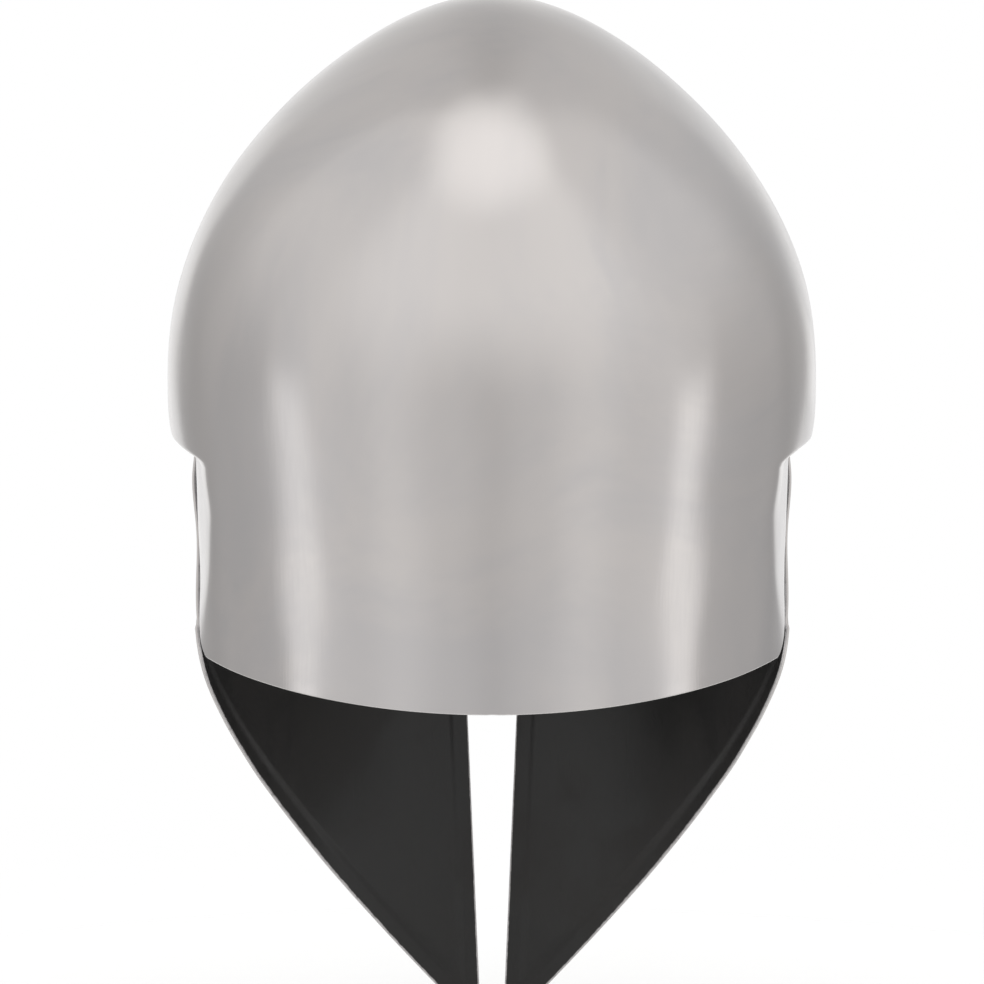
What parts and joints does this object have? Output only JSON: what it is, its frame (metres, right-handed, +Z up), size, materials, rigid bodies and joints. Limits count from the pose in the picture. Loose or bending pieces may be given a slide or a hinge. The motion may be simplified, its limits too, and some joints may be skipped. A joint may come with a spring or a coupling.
{
  "type": "greek helmet",
  "caption": "Greek helmet of polished steel sheet, black inside: domed crown, nasal, ear notches, straight neck guard and long pointed cheek pieces with a slit between them.",
  "frame": {"origin": "top of the hollow under the crown, where the wearer's head sits", "axes": "+Z up, the face looks along -Y, +X is the wearer's left"},
  "size_m": [0.199, 0.2474, 0.3472],
  "materials": {
    "polished_steel": "polished outside, satin black paint inside"
  },
  "bodies": {
    "root": {"helmet_shell": "polished_steel"}
  },
  "joints": []
}
